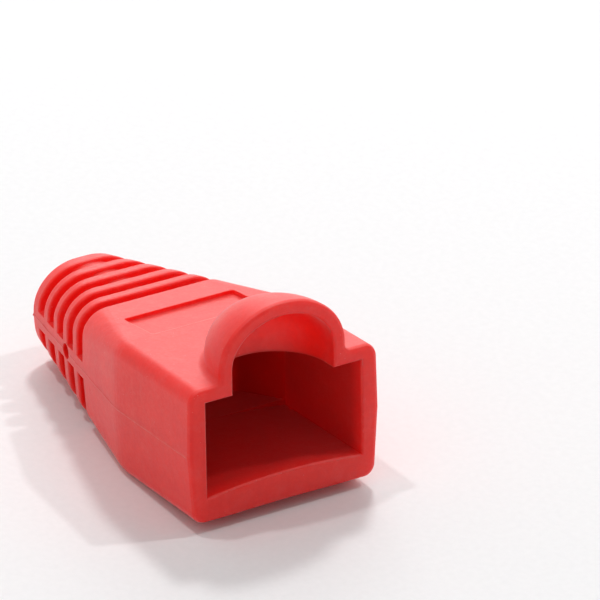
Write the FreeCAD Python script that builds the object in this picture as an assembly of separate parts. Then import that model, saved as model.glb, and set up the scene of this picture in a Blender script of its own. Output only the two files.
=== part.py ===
import FreeCAD, Part

import math
import os

# Strain relief boot for an 8P8C modular plug, moulded in one piece from soft PVC.
# Millimetres. +X runs from the plug mouth to the cable end, +Z is up, and the
# underside of the body is Z = 0. The finished part is centred on X = 0.

# Body: a straight box at the mouth, then a taper that runs on under the ribs
BODY_LENGTH = 15.87          # mouth face to the first slot
SHOULDER_X = 9.45            # where the straight box turns into the taper
MOUTH_WIDTH = 14.6           # at the parting line
SHOULDER_WIDTH = 14.24       # at the parting line
BODY_HEIGHT = 9.5
PARTING_HEIGHT = 4.88        # where the two mould halves meet
UPPER_DRAFT = 1.5            # degrees that each side leans in above the parting line
LOWER_DRAFT = 4.1            # and below it
UPPER_CORNER_RADIUS = 0.95
LOWER_CORNER_RADIUS = 0.9
SHOULDER_BEND = 0.6          # half the length over which the box bends into the taper
BEND_STEPS = 3               # flats along that bend
MOUTH_EDGE_RADIUS = 0.3
MOUTH_RIM_CHAMFER = 0.12     # between the mouth face and the inside
SINK_DEPTH = 0.15            # hollow that shrinkage leaves in the underside at the mouth
SINK_WIDTH = 12.2
SINK_LENGTH = 6.5

# Neck: ribs cut out of the taper, and a closed ring at the cable end
SLOT_COUNT = 5
SLOT_WIDTH = 0.93
RIB_WIDTH = 0.945
RING_WIDTH = 1.4
NECK_END_WIDTH = 7.65
NECK_END_HEIGHT = 6.9
NECK_END_FLAT = 0.17         # upright part of its sides between parting line and corner
NECK_END_LEVEL = 0.3         # half the level part of its top and bottom between the corners
NECK_AXIS_HEIGHT = 4.7
WEB_HEIGHT = 1.18            # solid band along each side between upper and lower slots
CORE_START_RADIUS = 3.75     # round tube at the foot of the slots
CORE_END_RADIUS = 3.3
RIB_EDGE_RADIUS = 0.18
RING_EDGE_RADIUS = 0.4
EDGE_STEPS = 2               # flats that make up each rounded edge
BORE_EDGE_CHAMFER = 0.12
SIDE_HOLE_DIAMETER = 1.1     # left by the pin that steadied the mould core
SIDE_HOLE_DEPTH = 1.3
SIDE_HOLE_RIB = 2
SIDE_HOLE_SETBACK = 0.2      # from the middle of that rib towards the mouth

# Inside: plug cavity, funnel and cable bore
PLUG_WIDTH = 11.68
PLUG_SIDE_CLEARANCE = 0.11
FLOOR_THICKNESS = 1.75       # at the side walls
FLOOR_CROWN = 0.4            # rise of the cavity floor at the middle
ROOF_THICKNESS = 1.0
CAVITY_DEPTH = 9.4
FUNNEL_LENGTH = 5.7
CABLE_BORE_DIAMETER = 5.66

# Latch dome: a half egg on a short upright skirt, open to the mouth and the cavity
DOME_HALF_WIDTH = 4.82
DOME_RISE = 3.91             # above the skirt
DOME_LENGTH = 5.95
DOME_SKIRT = 0.7             # above the top of the body
DOME_WALL = 0.94
DOME_ROOT_RADIUS = 0.4

# Shallow panel let into the top of the taper
PANEL_SETBACK = 0.15         # of its start, from the shoulder towards the mouth
PANEL_LENGTH = 3.7
PANEL_WIDTH = 8.5
PANEL_DEPTH = 0.28
PANEL_CORNER_RADIUS = 0.25

PITCH = SLOT_WIDTH + RIB_WIDTH
NECK_LENGTH = SLOT_COUNT * PITCH - RIB_WIDTH + RING_WIDTH
LENGTH = BODY_LENGTH + NECK_LENGTH
NECK_END_BOTTOM = NECK_AXIS_HEIGHT - NECK_END_HEIGHT / 2
NECK_END_TOP = NECK_AXIS_HEIGHT + NECK_END_HEIGHT / 2
NECK_END_REACH = min(NECK_END_TOP - PARTING_HEIGHT, PARTING_HEIGHT - NECK_END_BOTTOM)
NECK_END_RADIUS = min(NECK_END_REACH, NECK_END_WIDTH / 2) - NECK_END_FLAT
NECK_END_SPREAD = NECK_END_WIDTH / 2 - NECK_END_LEVEL - NECK_END_RADIUS
CAVITY_WIDTH = PLUG_WIDTH + 2 * PLUG_SIDE_CLEARANCE
DOME_SPRING = BODY_HEIGHT + DOME_SKIRT
DOME_TOP = DOME_SPRING + DOME_RISE
CAVITY_CEILING = BODY_HEIGHT - ROOF_THICKNESS
CABLE_BORE_RADIUS = CABLE_BORE_DIAMETER / 2
OVERRUN = 1.0                # how far a cutter runs past the face that it opens
RUN_IN = 0.1                 # how far outside a surface the cutter of a rounded edge starts

# Sections: x, half width, bottom, top, radius of the upper and of the lower corners up
# the sides, and how much more it is across the top and bottom
MOUTH = (0, MOUTH_WIDTH / 2, 0, BODY_HEIGHT, UPPER_CORNER_RADIUS, LOWER_CORNER_RADIUS, 0)
SHOULDER = (SHOULDER_X, SHOULDER_WIDTH / 2, 0, BODY_HEIGHT,
            UPPER_CORNER_RADIUS, LOWER_CORNER_RADIUS, 0)
NECK_END = (LENGTH, NECK_END_WIDTH / 2, NECK_END_BOTTOM, NECK_END_TOP,
            NECK_END_RADIUS, NECK_END_RADIUS, NECK_END_SPREAD)

X_AXIS = FreeCAD.Vector(1, 0, 0)
Y_AXIS = FreeCAD.Vector(0, 1, 0)
Z_AXIS = FreeCAD.Vector(0, 0, 1)


def line(start, end):
    return Part.makeLine(start, end)


def arc(start, middle, end):
    return Part.Arc(start, middle, end).toShape()


def quarter(start, apex, end, weight):
    """Part of an ellipse from start to end, with the meeting point of its end tangents."""
    curve = Part.BezierCurve()
    curve.setPoles([start, apex, end])
    curve.setWeight(2, weight)
    return curve.toShape()


def ruled_solid(sections):
    """Solid through the sections, with each flat face a true plane."""
    faces = []
    for face in Part.makeLoft(sections, True, True).Faces:
        plane = face.OuterWire.findPlane()
        faces.append(Part.Face(plane, face.OuterWire) if plane else face)
    solid = Part.Solid(Part.Shell(faces))
    solid.fix(1e-6, 1e-6, 1e-6)
    return solid


def corner(half_width, draft, reach, radius, spread):
    """Quarter ellipse that joins a leaning side to a level face, as quarter() needs it.

    Its three points are (distance from the middle plane, distance from the parting line).
    """
    across = radius + spread
    lean = math.tan(math.radians(draft))
    turn = math.atan(lean * radius / across)
    on_side = reach - radius + radius * math.sin(turn)
    side = half_width - on_side * lean
    apex = half_width - reach * lean
    level = side - across * math.cos(turn)
    return [(side, on_side), (apex, reach), (level, reach)], math.cos(math.pi / 4 - turn / 2)


def left_side(section):
    """Left side of a section, from the foot of its lower corner up to its top."""
    x, half_width, bottom, top, upper_radius, lower_radius, spread = section
    upper, upper_weight = corner(half_width, UPPER_DRAFT, top - PARTING_HEIGHT, upper_radius, spread)
    lower, lower_weight = corner(half_width, LOWER_DRAFT, PARTING_HEIGHT - bottom, lower_radius, spread)
    upper = [FreeCAD.Vector(x, across, PARTING_HEIGHT + out) for across, out in upper]
    lower = [FreeCAD.Vector(x, across, PARTING_HEIGHT - out) for across, out in reversed(lower)]
    parting = FreeCAD.Vector(x, half_width, PARTING_HEIGHT)
    return [
        quarter(*lower, lower_weight),
        line(lower[-1], parting),
        line(parting, upper[0]),
        quarter(*upper, upper_weight),
    ]


def mirrored(shape):
    return shape.mirror(FreeCAD.Vector(), Y_AXIS)


def closed_outline(left, top=None, bottom=None):
    """Wire from its left side, listed upwards, which is level at any end not given."""
    start = left[0].firstVertex().Point
    end = left[-1].lastVertex().Point
    top = top or line(end, FreeCAD.Vector(end.x, -end.y, end.z))
    bottom = bottom or line(FreeCAD.Vector(start.x, -start.y, start.z), start)
    return Part.Wire([bottom] + left + [top] + [mirrored(edge) for edge in reversed(left)])


def between(first, second, share):
    """Section part of the way from one section to another."""
    return [start + (end - start) * share for start, end in zip(first, second)]


def moved_in(section, inset):
    """Section with all its sides moved in by inset."""
    x, half_width, bottom, top, upper_radius, lower_radius, spread = section
    return (x, half_width - inset, bottom + inset, top - inset,
            upper_radius - inset, lower_radius - inset, spread)


def taper_outline(x, inset=0):
    """Outline of the taper at x, with all its sides moved in by inset."""
    section = between(SHOULDER, NECK_END, (x - SHOULDER_X) / (LENGTH - SHOULDER_X))
    return closed_outline(left_side(moved_in(section, inset)))


def rounding(radius):
    """Points of a rounded edge, as (distance from the wall, inset), that end in the wall."""
    turns = [math.pi / 2 * step / EDGE_STEPS for step in range(EDGE_STEPS + 1)]
    return [(radius * (1 - math.sin(turn)), radius * (1 - math.cos(turn))) for turn in turns]


def rounding_from_outside(radius):
    """The same, but its first flat starts outside the surface, which it then crosses."""
    rise = RUN_IN * math.tan(math.pi / 4 / EDGE_STEPS)
    return [(radius + RUN_IN, -rise)] + rounding(radius)[1:]


def shoulder_bend():
    """Sections of the soft bend from the straight box into the taper."""
    start = between(MOUTH, SHOULDER, 1 - SHOULDER_BEND / SHOULDER_X)
    end = between(SHOULDER, NECK_END, SHOULDER_BEND / (LENGTH - SHOULDER_X))
    shares = [step / BEND_STEPS for step in range(BEND_STEPS + 1)]
    return [between(between(start, SHOULDER, share), between(SHOULDER, end, share), share)
            for share in shares]


def outer_body():
    """Straight box at the mouth, the taper behind it and the rounded end of the ring."""
    outlines = [closed_outline(left_side(section)) for section in [MOUTH] + shoulder_bend()]
    outlines += [taper_outline(LENGTH - out, inset) for out, inset in rounding(RING_EDGE_RADIUS)]
    return ruled_solid(outlines)


def arch(x, half_width, rise):
    """Half ellipse from the left over the top to the right, at the spring of the dome."""
    left = FreeCAD.Vector(x, half_width, DOME_SPRING)
    apex = FreeCAD.Vector(x, 0, DOME_SPRING + rise)
    whole = Part.Ellipse(left, apex, FreeCAD.Vector(x, 0, DOME_SPRING))
    return Part.ArcOfEllipse(whole, 0, math.pi).toShape()


def mouth_outline(x, inset):
    """Outline of the mouth with its dome and the coves at the foot of the dome."""
    half_width = DOME_HALF_WIDTH - inset
    cove = DOME_ROOT_RADIUS + inset
    slant = cove * (1 - math.sqrt(0.5))
    corner_of_cove = FreeCAD.Vector(x, half_width, BODY_HEIGHT - inset)
    foot = corner_of_cove + Y_AXIS * cove
    middle = corner_of_cove + (Y_AXIS + Z_AXIS) * slant
    head = corner_of_cove + Z_AXIS * cove
    side = left_side((x,) + moved_in(MOUTH, inset)[1:])
    side.append(line(side[-1].lastVertex().Point, foot))
    side.append(arc(foot, middle, head))
    side.append(line(head, FreeCAD.Vector(x, half_width, DOME_SPRING)))
    return closed_outline(side, arch(x, half_width, DOME_RISE - inset))


def mouth_rounding():
    """Cutter that rounds the outer edge of the mouth."""
    kept = ruled_solid([mouth_outline(out, inset)
                        for out, inset in rounding_from_outside(MOUTH_EDGE_RADIUS)])
    block = Part.makeBox(MOUTH_EDGE_RADIUS + RUN_IN, 2 * MOUTH_WIDTH, 2 * DOME_TOP,
                         FreeCAD.Vector(0, -MOUTH_WIDTH, -DOME_TOP / 2))
    return block.cut(kept)


def half_egg(half_width, rise, length, spring, foot):
    """Quarter ellipsoid behind the mouth plane, on an upright skirt down to foot."""
    stretch = FreeCAD.Matrix()
    stretch.scale(length, half_width, rise)
    egg = Part.makeSphere(1, FreeCAD.Vector(), X_AXIS - Z_AXIS).transformGeometry(stretch)
    egg.translate(Z_AXIS * spring)
    cap = egg.common(Part.makeBox(2 * length, 4 * half_width, 2 * rise,
                                  FreeCAD.Vector(0, -2 * half_width, spring)))
    stretch = FreeCAD.Matrix()
    stretch.scale(length, half_width, spring - foot)
    rod = Part.makeCylinder(1, 1)
    rod.rotate(FreeCAD.Vector(), Z_AXIS, 180)
    rod = rod.transformGeometry(stretch)
    rod.translate(Z_AXIS * foot)
    skirt = rod.common(Part.makeBox(2 * length, 4 * half_width, spring - foot,
                                    FreeCAD.Vector(0, -2 * half_width, foot)))
    return cap.fuse(skirt).removeSplitter()


def core_radius(x):
    """Outer radius of the tube at the foot of the slots."""
    share = (x - BODY_LENGTH) / NECK_LENGTH
    return CORE_START_RADIUS + (CORE_END_RADIUS - CORE_START_RADIUS) * share


def slot_start(index):
    return BODY_LENGTH + index * PITCH


def lip(wall, side):
    """What stays of the taper beside a slot wall: its outer edge is rounded off."""
    return ruled_solid([taper_outline(wall + side * out, inset)
                        for out, inset in rounding_from_outside(RIB_EDGE_RADIUS)])


def slots():
    """All the slots of the neck, which stop at the core tube and at the side web."""
    core_start = FreeCAD.Vector(BODY_LENGTH - OVERRUN, 0, NECK_AXIS_HEIGHT)
    core = Part.makeCone(core_radius(core_start.x), core_radius(LENGTH + OVERRUN),
                         NECK_LENGTH + 2 * OVERRUN, core_start, X_AXIS)
    above = PARTING_HEIGHT + WEB_HEIGHT / 2
    below = PARTING_HEIGHT - WEB_HEIGHT / 2
    reach = RIB_EDGE_RADIUS + RUN_IN
    cutters = []
    for index in range(SLOT_COUNT):
        start = slot_start(index)
        kept = [core, lip(start, -1), lip(start + SLOT_WIDTH, 1)]
        for foot in (above, below - BODY_HEIGHT):
            slab = Part.makeBox(SLOT_WIDTH + 2 * reach, MOUTH_WIDTH, BODY_HEIGHT,
                                FreeCAD.Vector(start - reach, -MOUTH_WIDTH / 2, foot))
            cutters.append(slab.cut(kept))
    return cutters


def cavity_floor(x, outset):
    """Crowned floor of the plug cavity, from the right to the left."""
    half_width = CAVITY_WIDTH / 2 + outset
    height = FLOOR_THICKNESS - outset
    return arc(FreeCAD.Vector(x, -half_width, height), FreeCAD.Vector(x, 0, height + FLOOR_CROWN),
               FreeCAD.Vector(x, half_width, height))


def cavity_outline(x, outset=0):
    """Plug cavity section: flat ceiling, upright sides and a crowned floor."""
    floor = cavity_floor(x, outset)
    foot = FreeCAD.Vector(x, CAVITY_WIDTH / 2 + outset, FLOOR_THICKNESS - outset)
    side = line(foot, FreeCAD.Vector(x, foot.y, CAVITY_CEILING + outset))
    return closed_outline([side], None, floor)


def opening_outline(x, outset):
    """Plug cavity and latch passage in one outline, with all sides moved out by outset."""
    half_width = DOME_HALF_WIDTH - DOME_WALL + outset
    foot = FreeCAD.Vector(x, CAVITY_WIDTH / 2 + outset, FLOOR_THICKNESS - outset)
    eave = FreeCAD.Vector(x, foot.y, CAVITY_CEILING + outset)
    passage = FreeCAD.Vector(x, half_width, eave.z)
    spring = FreeCAD.Vector(x, half_width, DOME_SPRING)
    side = [line(foot, eave), line(eave, passage), line(passage, spring)]
    top = arch(x, half_width, DOME_RISE - DOME_WALL + outset)
    return closed_outline(side, top, cavity_floor(x, outset))


def rim_bevel():
    """Cutter for the edge between the mouth face and the inside."""
    size = MOUTH_RIM_CHAMFER
    return ruled_solid([opening_outline(-size, 2 * size), opening_outline(2 * size, -size)])


def rectangle(x, half_width, bottom, top):
    corners = [(-half_width, bottom), (half_width, bottom), (half_width, top), (-half_width, top)]
    points = [FreeCAD.Vector(x, y, z) for y, z in corners]
    return Part.makePolygon(points + points[:1])


def inside():
    """Plug cavity, funnel and cable bore as one cutter."""
    funnel_end = CAVITY_DEPTH + FUNNEL_LENGTH
    cavity = Part.Face(cavity_outline(-OVERRUN)).extrude(X_AXIS * (CAVITY_DEPTH + OVERRUN))
    wide = rectangle(CAVITY_DEPTH, CAVITY_WIDTH / 2, FLOOR_THICKNESS + FLOOR_CROWN, CAVITY_CEILING)
    narrow = rectangle(funnel_end, CABLE_BORE_RADIUS, NECK_AXIS_HEIGHT - CABLE_BORE_RADIUS,
                       NECK_AXIS_HEIGHT + CABLE_BORE_RADIUS)
    funnel = ruled_solid([wide, narrow])
    bore = Part.makeCylinder(CABLE_BORE_RADIUS, LENGTH - funnel_end + OVERRUN,
                             FreeCAD.Vector(funnel_end, 0, NECK_AXIS_HEIGHT), X_AXIS)
    mouth = Part.makeCone(CABLE_BORE_RADIUS, CABLE_BORE_RADIUS + BORE_EDGE_CHAMFER + OVERRUN,
                          BORE_EDGE_CHAMFER + OVERRUN,
                          FreeCAD.Vector(LENGTH - BORE_EDGE_CHAMFER, 0, NECK_AXIS_HEIGHT), X_AXIS)
    return cavity.fuse([funnel, bore, mouth])


def dome():
    return half_egg(DOME_HALF_WIDTH, DOME_RISE, DOME_LENGTH, DOME_SPRING, PARTING_HEIGHT)


def hollow():
    """Room for the plug's latch in the dome: an arched passage with a round end."""
    half_width = DOME_HALF_WIDTH - DOME_WALL
    rise = DOME_RISE - DOME_WALL
    round_start = DOME_LENGTH - DOME_WALL - half_width
    foot = FreeCAD.Vector(round_start, 0, PARTING_HEIGHT)
    apex = FreeCAD.Vector(round_start, 0, DOME_SPRING + rise)
    spring = FreeCAD.Vector(round_start, half_width, DOME_SPRING)
    bow = Part.Ellipse(spring, apex, FreeCAD.Vector(round_start, 0, DOME_SPRING))
    crown = Part.ArcOfEllipse(bow, 0, math.pi / 2).toShape()
    heel = FreeCAD.Vector(round_start, half_width, PARTING_HEIGHT)
    half = Part.Face(Part.Wire([line(foot, heel), line(heel, spring), crown, line(apex, foot)]))
    round_end = half.revolve(foot, Z_AXIS, -180)
    passage = half.extrude(X_AXIS * -(round_start + OVERRUN))
    return round_end.fuse([passage, mirrored(passage)]).removeSplitter()


def side_holes():
    """Blind pin holes, one on each side of a rib, at the parting line."""
    x = slot_start(SIDE_HOLE_RIB) - RIB_WIDTH / 2 - SIDE_HOLE_SETBACK
    share = (x - SHOULDER_X) / (LENGTH - SHOULDER_X)
    surface = (SHOULDER_WIDTH + (NECK_END_WIDTH - SHOULDER_WIDTH) * share) / 2
    foot = surface - SIDE_HOLE_DEPTH
    return [Part.makeCylinder(SIDE_HOLE_DIAMETER / 2, SIDE_HOLE_DEPTH + OVERRUN,
                              FreeCAD.Vector(x, side * foot, PARTING_HEIGHT), Y_AXIS * side)
            for side in (-1, 1)]


def panel_cutter():
    """Shallow panel parallel to the sloping top of the taper."""
    slope = math.atan2(BODY_HEIGHT - NECK_END_TOP, LENGTH - SHOULDER_X)
    start = FreeCAD.Vector(-PANEL_SETBACK, -PANEL_WIDTH / 2, -PANEL_DEPTH)
    panel = Part.makeBox(PANEL_LENGTH, PANEL_WIDTH, PANEL_DEPTH + OVERRUN, start)
    upright = [edge for edge in panel.Edges if abs(edge.tangentAt(0).z) > 0.9]
    panel = panel.makeFillet(PANEL_CORNER_RADIUS, upright)
    panel.rotate(FreeCAD.Vector(), Y_AXIS, math.degrees(slope))
    panel.translate(FreeCAD.Vector(SHOULDER_X, 0, BODY_HEIGHT))
    return panel


def sink():
    """Shallow hollow in the underside, deepest at the mouth and gone at its length."""
    radius = (SINK_WIDTH ** 2 / 4 + SINK_DEPTH ** 2) / (2 * SINK_DEPTH)
    slope = math.atan2(SINK_DEPTH, SINK_LENGTH)
    along = FreeCAD.Vector(math.cos(slope), 0, -math.sin(slope))
    top = FreeCAD.Vector(0, 0, SINK_DEPTH)
    start = top - along * SINK_LENGTH - FreeCAD.Vector(math.sin(slope), 0, math.cos(slope)) * radius
    return Part.makeCylinder(radius, 3 * SINK_LENGTH, start, along)


def dome_root(shape):
    """The curve where the skirt of the dome stands on the top of the body."""
    return [edge for edge in shape.Edges
            if edge.BoundBox.ZMax - edge.BoundBox.ZMin < 1e-3
            and abs(edge.BoundBox.ZMax - BODY_HEIGHT) < 1e-3
            and edge.BoundBox.XLength > 0.9 * DOME_LENGTH
            and edge.BoundBox.XMax < DOME_LENGTH + 0.01]


def build_boot():
    body = outer_body().fuse(dome()).removeSplitter()
    body = body.makeFillet(DOME_ROOT_RADIUS, dome_root(body))
    body = body.cut(sink()).cut(mouth_rounding()).cut(slots())
    body = body.cut(inside()).cut(hollow()).cut(rim_bevel())
    body = body.cut([panel_cutter()] + side_holes())
    return body.Solids[0]


def main():
    os.makedirs("parts", exist_ok=True)
    boot = build_boot()
    boot.translate(X_AXIS * (-LENGTH / 2))
    boot.exportStep("parts/boot.step")


main()
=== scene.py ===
import math

import bmesh
import bpy
from mathutils import Matrix, Vector, noise
from mathutils.bvhtree import BVHTree


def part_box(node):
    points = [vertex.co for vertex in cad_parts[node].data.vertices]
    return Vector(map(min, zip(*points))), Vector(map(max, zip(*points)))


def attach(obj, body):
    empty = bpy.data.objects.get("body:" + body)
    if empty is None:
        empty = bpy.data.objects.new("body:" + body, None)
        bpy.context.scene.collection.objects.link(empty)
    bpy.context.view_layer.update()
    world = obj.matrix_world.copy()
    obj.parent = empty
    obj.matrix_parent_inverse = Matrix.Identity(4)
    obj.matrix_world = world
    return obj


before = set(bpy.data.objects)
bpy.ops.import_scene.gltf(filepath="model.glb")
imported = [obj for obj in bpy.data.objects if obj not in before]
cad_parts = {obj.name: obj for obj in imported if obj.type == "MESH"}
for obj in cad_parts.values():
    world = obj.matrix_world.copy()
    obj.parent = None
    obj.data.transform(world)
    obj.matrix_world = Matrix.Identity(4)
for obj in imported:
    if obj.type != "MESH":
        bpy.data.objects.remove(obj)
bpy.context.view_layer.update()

# Dresses the moulded strain relief boot: soft red PVC on the boot itself, a thin parting
# flash along its sides, a frayed burr round its mouth, and a white studio around it.
# X runs along the boot, from the mouth for the plug to the ring for the cable. Z is up.
# Lengths are written in millimetres, and multiplied by MM where Blender takes them.

MM = 0.001
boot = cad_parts["boot"]
low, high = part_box("boot")
MOUTH_X = low[0] / MM
RING_X = high[0] / MM
HALF_WIDTH = high[1] / MM


# ---------------------------------------------------------------- materials
class Nodes:
    """A material's node tree, with short calls for the nodes used here."""

    def __init__(self, name):
        self.material = bpy.data.materials.new(name)
        self.material.use_nodes = True
        self.tree = self.material.node_tree
        self.tree.nodes.clear()
        output = self.add("ShaderNodeOutputMaterial")
        self.shader = self.add("ShaderNodeBsdfPrincipled")
        self.link(self.shader.outputs[0], output.inputs["Surface"])
        self.coords = self.add("ShaderNodeTexCoord").outputs["Object"]

    def add(self, kind, **settings):
        """New node, with its own settings such as operation or data_type."""
        node = self.tree.nodes.new(kind)
        for name, value in settings.items():
            setattr(node, name, value)
        return node

    def link(self, start, end):
        self.tree.links.new(start, end)

    def noise(self, size, detail=2.0, rough=0.5):
        """Noise whose blobs are about this many millimetres across."""
        node = self.add("ShaderNodeTexNoise")
        node.inputs["Scale"].default_value = 1 / (size * MM)
        node.inputs["Detail"].default_value = detail
        node.inputs["Roughness"].default_value = rough
        self.link(self.coords, node.inputs["Vector"])
        return node.outputs["Fac"]

    def spread(self, value, start, end, first, last):
        """Value between start and end spread over first to last, and held beyond them."""
        node = self.add("ShaderNodeMapRange")
        ends = (("From Min", start), ("From Max", end), ("To Min", first), ("To Max", last))
        for name, number in ends:
            node.inputs[name].default_value = number
        self.link(value, node.inputs["Value"])
        return node.outputs["Result"]

    def mix(self, share, first, second):
        """Colour part of the way from first to second. Each is a socket or a colour."""
        node = self.add("ShaderNodeMix", data_type="RGBA")
        self.link(share, node.inputs["Factor"])
        for name, colour in (("A", first), ("B", second)):
            socket = next(s for s in node.inputs if s.name == name and s.type == "RGBA")
            if isinstance(colour, tuple):
                socket.default_value = (*colour, 1)
            else:
                self.link(colour, socket)
        return next(s for s in node.outputs if s.type == "RGBA")

    def bump(self, height, normal, strength, depth):
        """Normal that is tilted as if height stood out by up to this depth."""
        node = self.add("ShaderNodeBump")
        node.inputs["Strength"].default_value = strength
        node.inputs["Distance"].default_value = depth * MM
        self.link(height, node.inputs["Height"])
        self.link(normal, node.inputs["Normal"])
        return node.outputs[0]

    def math(self, operation, first, second=None):
        """Sum, product or other operation on one or two sockets."""
        node = self.add("ShaderNodeMath", operation=operation)
        self.link(first, node.inputs[0])
        if second:
            self.link(second, node.inputs[1])
        return node.outputs[0]

    def set(self, **values):
        """Constant values of the shader's own sockets."""
        for name, value in values.items():
            self.shader.inputs[name.replace("_", " ")].default_value = value


RED = (0.92, 0.018, 0.010)
# DEEP_RED is the darker tone of the clouds, and also the painted shade inside the cable bore.
DEEP_RED = (0.85, 0.010, 0.006)
# Painted shade: the dark red that the walls deep in the plug cavity turn to, where little light gets in.
CAVITY_SHADE_RED = (0.62, 0.005, 0.003)
HAZE_PINK = (0.87, 0.12, 0.105)   # painted sheen: pale pink patches at random, standing in for part of the satin surface's haze
DUST_PINK = (0.95, 0.42, 0.4)
FLOOR_GREY = (0.875, 0.87, 0.875)
FLOOR_WHITE = (0.905, 0.90, 0.905)
HAZE_TINT = (0.92, 0.96, 1, 1)

CLOUD_SIZE = 2.4             # blobs of each pattern, from coarse to fine
HAZE_PATCH_SIZE = 0.9
WAVE_SIZE = 0.9
FIBRE_SIZE = 0.5             # of the paper floor
MOTTLE_SIZE = 0.4
GRAIN_SIZE = 0.16
DUST_SIZE = 0.11

EDGE_SOFTNESS = 0.1          # rounding of every moulded edge
TRIM_SOFTNESS = 0.02         # of the flash and the burr, which are thinner than an edge
TRIM_PAINTED_PALENESS = 0.45         # painted light: the flash and burr are made paler for the light their thin plastic catches and lets through
WAVE_DEPTH = 0.05            # how uneven the surface is: sunken waves, then spark-eroded grain
GRAIN_DEPTH = 0.012
HAZE = 0.30                  # weight of the soft sheen on the satin surface
GLOW_REACH = 1.7             # how far light spreads inside the plastic
GLOW_SPREAD = (1.0, 0.12, 0.08)   # share of that reach for red, green and blue
ROUGHNESS = (0.42, 0.58)     # from smooth to rough places of the grain
BORE_ROUGHER = 0.4           # the bore is duller than the outside
CAVITY_SHADE_SHARE = 0.8           # share of the painted shade colour, deep in the plug cavity

# What bounds the two spaces inside the boot. Each row is a measure from fence_measures(),
# its value just outside the space, and its value well inside.
CAVITY_FENCE = (
    ("x", -12.7, -11.4), ("x", 0.1, -0.5), ("side", 6.1, 6.05), ("z", 1.6, 1.7), ("z", 8.7, 8.45),
)
BORE_FENCE = (("x", 12.8, 11.5), ("x", 0.5, 1.5), ("bore", 3.0, 2.93))
BORE_AXIS_HEIGHT = 4.7


def fence_measures(nodes):
    """A point's X, its distance from the middle plane, its Z, and its distance from the bore's axis."""
    place = nodes.add("ShaderNodeSeparateXYZ")
    nodes.link(nodes.coords, place.inputs[0])
    offset = nodes.add("ShaderNodeVectorMath", operation="MULTIPLY_ADD")
    nodes.link(nodes.coords, offset.inputs[0])
    offset.inputs[1].default_value = (0, 1, 1)
    offset.inputs[2].default_value = (0, 0, -BORE_AXIS_HEIGHT * MM)
    radius = nodes.add("ShaderNodeVectorMath", operation="LENGTH")
    nodes.link(offset.outputs[0], radius.inputs[0])
    side = nodes.math("ABSOLUTE", place.outputs["Y"])
    return {"x": place.outputs["X"], "side": side, "z": place.outputs["Z"], "bore": radius.outputs["Value"]}


def inside(nodes, fence):
    """1 where a point lies well inside the fenced space, fading to 0 outside it."""
    measures = fence_measures(nodes)
    shares = [nodes.spread(measures[name], outer * MM, inner * MM, 0, 1) for name, outer, inner in fence]
    product = shares[0]
    for share in shares[1:]:
        product = nodes.math("MULTIPLY", product, share)
    return product


def soft_pvc(name, painted_paleness=0.0, softness=EDGE_SOFTNESS, glow=1.0, haze=HAZE):
    """Moulded PVC: cloudy red, satin, with a fine spark-eroded grain."""
    nodes = Nodes(name)
    grain = nodes.noise(GRAIN_SIZE, 4, 0.62)
    # Share inside the bore: it carries the bore's painted shade and its duller roughness.
    bore_shade_and_dullness = inside(nodes, BORE_FENCE)
    cavity_shade = nodes.spread(inside(nodes, CAVITY_FENCE), 0, 1, 0, CAVITY_SHADE_SHARE)

    cloud = nodes.math("ADD", nodes.noise(CLOUD_SIZE, 3), nodes.noise(MOTTLE_SIZE, 4, 0.65))
    haze_patches = nodes.noise(HAZE_PATCH_SIZE, 5, 0.7)
    colour = nodes.mix(nodes.spread(cloud, 0.75, 1.25, 0, 1), DEEP_RED, RED)
    # Painted sheen: pale pink patches mixed into the colour, and more of it where the flash and burr are
    # made paler as painted light.
    colour = nodes.mix(nodes.spread(haze_patches, 0.5, 0.85, painted_paleness, painted_paleness + 0.3), colour, HAZE_PINK)
    colour = nodes.mix(nodes.spread(nodes.noise(DUST_SIZE, 0), 0.85, 0.89, 0, 0.5), colour, DUST_PINK)
    # Painted shade: inside the cable bore the colour turns to the deep red.
    colour = nodes.mix(bore_shade_and_dullness, colour, DEEP_RED)
    # Painted shade: deep in the plug cavity the colour turns towards a darker red.
    nodes.link(nodes.mix(cavity_shade, colour, CAVITY_SHADE_RED), nodes.shader.inputs["Base Color"])

    satin = nodes.spread(grain, 0.25, 0.75, *ROUGHNESS)
    duller = nodes.spread(bore_shade_and_dullness, 0, 1, 0, BORE_ROUGHER)
    nodes.link(nodes.math("ADD", satin, duller), nodes.shader.inputs["Roughness"])

    rounded = nodes.add("ShaderNodeBevel", samples=6)
    rounded.inputs["Radius"].default_value = softness * MM
    uneven = nodes.bump(nodes.noise(WAVE_SIZE, 2), rounded.outputs[0], 0.4, WAVE_DEPTH)
    nodes.link(nodes.bump(grain, uneven, 0.35, GRAIN_DEPTH), nodes.shader.inputs["Normal"])

    nodes.set(IOR=1.50, Sheen_Weight=haze, Sheen_Roughness=0.35, Sheen_Tint=HAZE_TINT)
    nodes.set(Subsurface_Weight=glow, Subsurface_Scale=GLOW_REACH * MM, Subsurface_Radius=GLOW_SPREAD)
    return nodes.material


def studio_white():
    """Matt white paper with faint fibres."""
    nodes = Nodes("studio_white")
    fibres = nodes.spread(nodes.noise(FIBRE_SIZE, 4, 0.6), 0.3, 0.7, 0, 1)
    nodes.link(nodes.mix(fibres, FLOOR_GREY, FLOOR_WHITE), nodes.shader.inputs["Base Color"])
    nodes.set(Roughness=0.85)
    return nodes.material


for slot in boot.material_slots:
    slot.material = soft_pvc("red_pvc")


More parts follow.
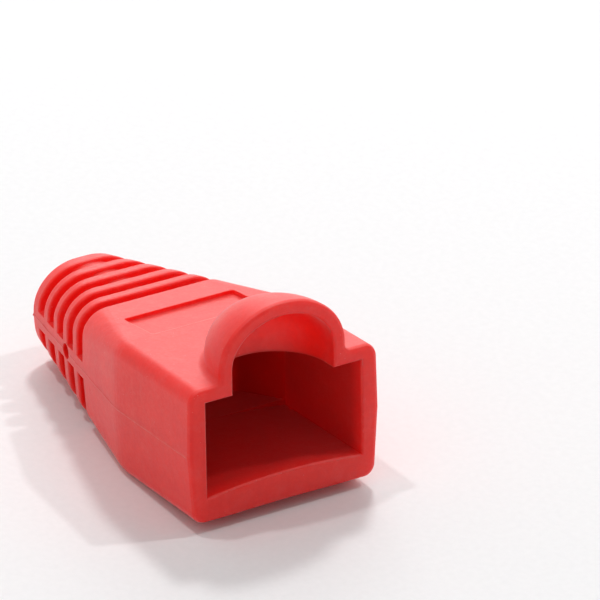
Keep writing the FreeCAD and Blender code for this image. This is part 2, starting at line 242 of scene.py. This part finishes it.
# ---------------------------------------------------------------- parting flash
PARTING_HEIGHT = 4.88        # where the two mould halves meet
PARTING_WANDER = 0.02        # how far its line strays up and down
FLASH_STEP = 0.11            # from section to section
FLASH_FADE = 3               # sections over which a run thins out, and that the mouth stays free of it
FLASH_HALF_WIDTH = 0.07
FLASH_HEIGHT = 0.035         # how far it stands proud on average
FLASH_WAVES = ((0.03, 2.1, 7.3, 0.5), (0.045, 0.55, 3.1, 4.5))   # (height, per mm, and place in the noise)
FLASH_LEAST = 0.014
FLASH_PROFILE = ((-1, 0), (-0.6, 1), (0.1, 0.75), (1, 0))   # (height on the side, share proud)
FLASH_SUNK = 0.03            # how deep its back lies in the side
HOLE_DROP = 0.5              # a ray that lands this much deeper has gone into the pin hole
NUB_PLACE = 12.5             # thick end of the flash, on one side of the ring
NUB_SIZE = 0.2
NUB_REACH = 0.14
FAR_OUT = 20                 # clear of the boot on either side


def wavy(*place):
    """Smooth noise from about -1 to 1, the same at the same place."""
    return noise.noise(Vector(place))


surface = BVHTree.FromPolygons([v.co for v in boot.data.vertices],
                               [p.vertices for p in boot.data.polygons])


def side_y(x, z, side):
    """How far out the boot's side lies at x and z."""
    start = Vector((x, side * FAR_OUT, z)) * MM
    return abs(surface.ray_cast(start, Vector((0, -side, 0)))[0].y) / MM


def flash_height(x, side):
    """How far the flash stands proud: a fine line with a few thicker stretches."""
    height = FLASH_HEIGHT
    for wave, per_mm, apart, row in FLASH_WAVES:
        height += wave * wavy(x * per_mm, side * apart, row)
    nub = NUB_SIZE * math.exp(-((x - NUB_PLACE) / NUB_REACH) ** 2)
    return max(FLASH_LEAST, height) + (nub if side > 0 else 0)


def flash_runs(side):
    """Stations along one side, split where the pin hole breaks the flash."""
    runs = [[]]
    last = side_y(MOUTH_X + 1, PARTING_HEIGHT, side)
    for index in range(FLASH_FADE, int((RING_X - MOUTH_X) / FLASH_STEP) - 1):
        x = MOUTH_X + index * FLASH_STEP
        y = side_y(x, PARTING_HEIGHT, side)
        if y < last - HOLE_DROP:
            runs.append([])
        else:
            runs[-1].append(x)
            last = y
    return [run for run in runs if len(run) > FLASH_FADE]


def flash_ring(x, side, taper):
    """Section of the flash at x, as a closed row of points."""
    points = []
    for across, share in FLASH_PROFILE:
        z = PARTING_HEIGHT + across * FLASH_HALF_WIDTH + PARTING_WANDER * wavy(x * 1.3, side, 9.5)
        y = min(side_y(x, z, side) + share * taper * flash_height(x, side), HALF_WIDTH)
        points.append((x, side * y, z))
    for x, y, z in (points[-1], points[0]):
        points.append((x, y - side * FLASH_SUNK, z))
    return points


def add_piece(name, work, material):
    """Turn a bmesh in millimetres into a piece that rides on the boot."""
    bmesh.ops.recalc_face_normals(work, faces=work.faces)
    bmesh.ops.scale(work, vec=(MM, MM, MM), verts=work.verts)
    mesh = bpy.data.meshes.new(name)
    work.to_mesh(mesh)
    work.free()
    mesh.shade_smooth()
    mesh.materials.append(material)
    piece = bpy.data.objects.new(name, mesh)
    bpy.context.collection.objects.link(piece)
    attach(piece, "root")


def skin(work, rings):
    """Tube through rings of points, closed at both ends."""
    rows = [[work.verts.new(point) for point in ring] for ring in rings]
    for first, second in zip(rows, rows[1:]):
        for index in range(len(first)):
            after = (index + 1) % len(first)
            work.faces.new((first[index], first[after], second[after], second[index]))
    work.faces.new(rows[0])
    work.faces.new(rows[-1])


def add_flash(material):
    """Thin irregular ridge along the parting line of both sides."""
    work = bmesh.new()
    for side in (-1, 1):
        for run in flash_runs(side):
            from_end = [min(index, len(run) - 1 - index) for index in range(len(run))]
            tapers = [min(1, (steps + 0.3) / FLASH_FADE) for steps in from_end]
            skin(work, [flash_ring(x, side, taper) for x, taper in zip(run, tapers)])
    add_piece("parting_flash", work, material)


# ---------------------------------------------------------------- burr at the mouth
BURR_STEP = 0.09             # from section to section
BURR_HEIGHT = 0.08           # how far it stands into the opening
BURR_LEAST = 0.012           # a lower stretch has no burr
BURR_THICKNESS = 0.05
BURR_ROOT = 0.03             # how deep its foot lies in the wall
BURR_SUNK = 0.002            # behind the mouth face
BURR_WAVES = ((1, 1.1), (0.9, 5.0))   # (share, per mm) of what makes it ragged
BURR_GAPS = 0.08             # the higher, the fewer stretches have a burr
FLAT_WITHIN = 0.002          # from the plane of the mouth face


def mouth_border():
    """Neighbours of each vertex along the borders of the flat mouth face."""
    uses = {}
    for polygon in boot.data.polygons:
        if polygon.normal.x < -0.99 and abs(polygon.center.x / MM - MOUTH_X) < FLAT_WITHIN:
            for edge in polygon.edge_keys:
                uses[edge] = uses.get(edge, 0) + 1
    neighbours = {}
    for a, b in (edge for edge, count in uses.items() if count == 1):
        neighbours.setdefault(a, []).append(b)
        neighbours.setdefault(b, []).append(a)
    return neighbours


def closed_loops(neighbours):
    """Loops of vertices, each followed from neighbour to neighbour."""
    loops = []
    while neighbours:
        loop = []
        vertex = next(iter(neighbours))
        while vertex is not None:
            loop.append(vertex)
            ahead = neighbours.pop(vertex)
            vertex = next((v for v in ahead if v in neighbours), None)
        loops.append(loop)
    return loops


def mouth_rim():
    """Loop of points where the mouth face meets the inside: the narrower of its borders."""
    loops = [[Vector(boot.data.vertices[v].co) / MM for v in loop] for loop in closed_loops(mouth_border())]
    return min((loop for loop in loops if len(loop) > 8), key=lambda loop: max(p.y for p in loop))


def walked(loop, step):
    """Points at even steps round a closed loop."""
    points = []
    carry = 0
    for start, end in zip(loop, loop[1:] + loop[:1]):
        length = (end - start).length
        while carry < length:
            points.append(start.lerp(end, carry / length))
            carry += step
        carry -= length
    return points


def burr_height(point):
    """How far the burr stands out at a point of the rim. Below BURR_LEAST it has none."""
    ragged = sum(share * wavy(*(point * per_mm)) for share, per_mm in BURR_WAVES) - BURR_GAPS
    return BURR_HEIGHT * min(1, ragged * 2)


def add_burr(material):
    """Frayed skin of plastic that stands into the opening in short lengths."""
    rim = walked(mouth_rim(), BURR_STEP)
    middle = sum(rim, Vector()) / len(rim)
    work = bmesh.new()
    stretch = []
    for index, point in enumerate(rim + rim[:1]):
        ahead = rim[(index + 1) % len(rim)] - rim[index - 1]
        inward = Vector((0, -ahead.z, ahead.y)).normalized()
        if inward.dot(middle - point) < 0:
            inward = -inward
        height = burr_height(point)
        if height > BURR_LEAST and index < len(rim):
            front = point - inward * BURR_ROOT + Vector((BURR_SUNK, 0, 0))
            tip = point + inward * height + Vector((0.4 * BURR_THICKNESS, 0, 0))
            stretch.append((front, tip, front + Vector((BURR_THICKNESS, 0, 0))))
            continue
        if len(stretch) > 2:
            skin(work, stretch)
        stretch = []
    add_piece("rim_burr", work, material)


# The flash and burr take a paler colour, painted light for what their thin plastic catches and lets
# through, as their own glow is off.
add_flash(soft_pvc("flash_pvc", TRIM_PAINTED_PALENESS, TRIM_SOFTNESS, glow=0.0))
add_burr(soft_pvc("burr_pvc", TRIM_PAINTED_PALENESS, TRIM_SOFTNESS, glow=0.0, haze=0.0))


# ---------------------------------------------------------------- floor
SHOULDER = Vector((-3.4, 0, 0)) * MM       # the boot lies on the flat underside of
NECK_END = Vector((12.85, 0, 1.25)) * MM   # its taper, from here to the cable end
FLOOR_SIZE = 3               # metres
FLOOR_GAP = 0.02

slope = math.atan2(NECK_END.z - SHOULDER.z, NECK_END.x - SHOULDER.x)
bpy.ops.mesh.primitive_plane_add(size=FLOOR_SIZE)
floor = bpy.context.object
floor.name = "floor"
floor.rotation_euler = (0, -slope, 0)
floor.location = SHOULDER - Vector((0, 0, FLOOR_GAP * MM))
floor.data.materials.append(studio_white())


# ---------------------------------------------------------------- light and camera
EYE = Vector((-370.88, 225.32, 203.41)) * MM
FORWARD = Vector((0.771397, -0.488232, -0.408136))
PICTURE_UP = Vector((0.337289, -0.230167, 0.912830))
SENSOR_WIDTH = 36            # of the camera, as is its lens
LENS = 432.84
CLIP_START = 0.01            # metres

LAMP_DISTANCE = 0.7          # metres, as is each lamp's size
LAMPS = (                    # (name, up, away from the camera, to the right, size, level)
    ("behind", 0.83, 0.56, 0.04, 0.08, 0.31),
    ("right", 0.84, 0.17, 0.52, 0.03, 0.16),
    ("left", 0.95, 0.06, -0.28, 0.03, 0.14),
    ("low", 0.45, 0.89, 0, 0.40, 0.27),
)
WORLD_LEAST = 0.14           # light from the dark side of the room, and from the bright side
WORLD_MOST = 0.53

up = Vector((-math.sin(slope), 0, math.cos(slope)))   # out of the tilted floor
away = (FORWARD - FORWARD.dot(up) * up).normalized()
right = away.cross(up)


def world_light(toward, least, most):
    """Soft surrounding light that grows toward one direction.

    The camera and the mirror-like share of the shading see plain white instead.
    """
    world = bpy.data.worlds.new("studio")
    bpy.context.scene.world = world
    world.use_nodes = True
    nodes, links = world.node_tree.nodes, world.node_tree.links
    nodes.clear()
    facing = nodes.new("ShaderNodeVectorMath")
    facing.operation = "DOT_PRODUCT"
    facing.inputs[1].default_value = toward.normalized()
    links.new(nodes.new("ShaderNodeTexCoord").outputs["Generated"], facing.inputs[0])
    level = nodes.new("ShaderNodeMapRange")
    level.interpolation_type = "SMOOTHSTEP"
    for name, value in (("From Min", -1), ("From Max", 1), ("To Min", least), ("To Max", most)):
        level.inputs[name].default_value = value
    links.new(facing.outputs["Value"], level.inputs["Value"])
    room, white = (nodes.new("ShaderNodeBackground") for _ in range(2))
    for light in (room, white):
        light.inputs["Color"].default_value = (1, 1, 1, 1)
    white.inputs["Strength"].default_value = 1.0
    links.new(level.outputs["Result"], room.inputs["Strength"])
    path = nodes.new("ShaderNodeLightPath")
    seen = nodes.new("ShaderNodeMath")
    seen.operation = "MAXIMUM"
    links.new(path.outputs["Is Camera Ray"], seen.inputs[0])
    links.new(path.outputs["Is Glossy Ray"], seen.inputs[1])
    mix = nodes.new("ShaderNodeMixShader")
    for index, socket in enumerate((seen.outputs[0], room.outputs[0], white.outputs[0])):
        links.new(socket, mix.inputs[index])
    links.new(mix.outputs[0], nodes.new("ShaderNodeOutputWorld").inputs["Surface"])


def softbox(name, direction, size, level):
    """Square lamp that gives a white surface facing it this much of full white."""
    data = bpy.data.lights.new(name, "AREA")
    data.shape = "SQUARE"
    data.size = size
    data.energy = level * math.pi ** 2 * LAMP_DISTANCE ** 2
    lamp = bpy.data.objects.new(name, data)
    bpy.context.collection.objects.link(lamp)
    lamp.location = direction.normalized() * LAMP_DISTANCE
    lamp.rotation_euler = direction.to_track_quat("Z", "Y").to_euler()


def add_camera():
    """Camera at EYE that looks along FORWARD."""
    data = bpy.data.cameras.new("camera")
    data.sensor_width = SENSOR_WIDTH
    data.lens = LENS
    data.clip_start = CLIP_START
    camera = bpy.data.objects.new("camera", data)
    bpy.context.collection.objects.link(camera)
    sideways = FORWARD.cross(PICTURE_UP).normalized()
    turn = Matrix((sideways, sideways.cross(FORWARD).normalized(), -FORWARD)).transposed()
    camera.matrix_world = Matrix.Translation(EYE) @ turn.to_4x4()
    bpy.context.scene.camera = camera


world_light(up * 0.5 - right * 0.87, WORLD_LEAST, WORLD_MOST)
for name, upward, onward, rightward, size, level in LAMPS:
    softbox(name, up * upward + away * onward + right * rightward, size, level)
add_camera()
bpy.context.scene.view_settings.view_transform = "Standard"
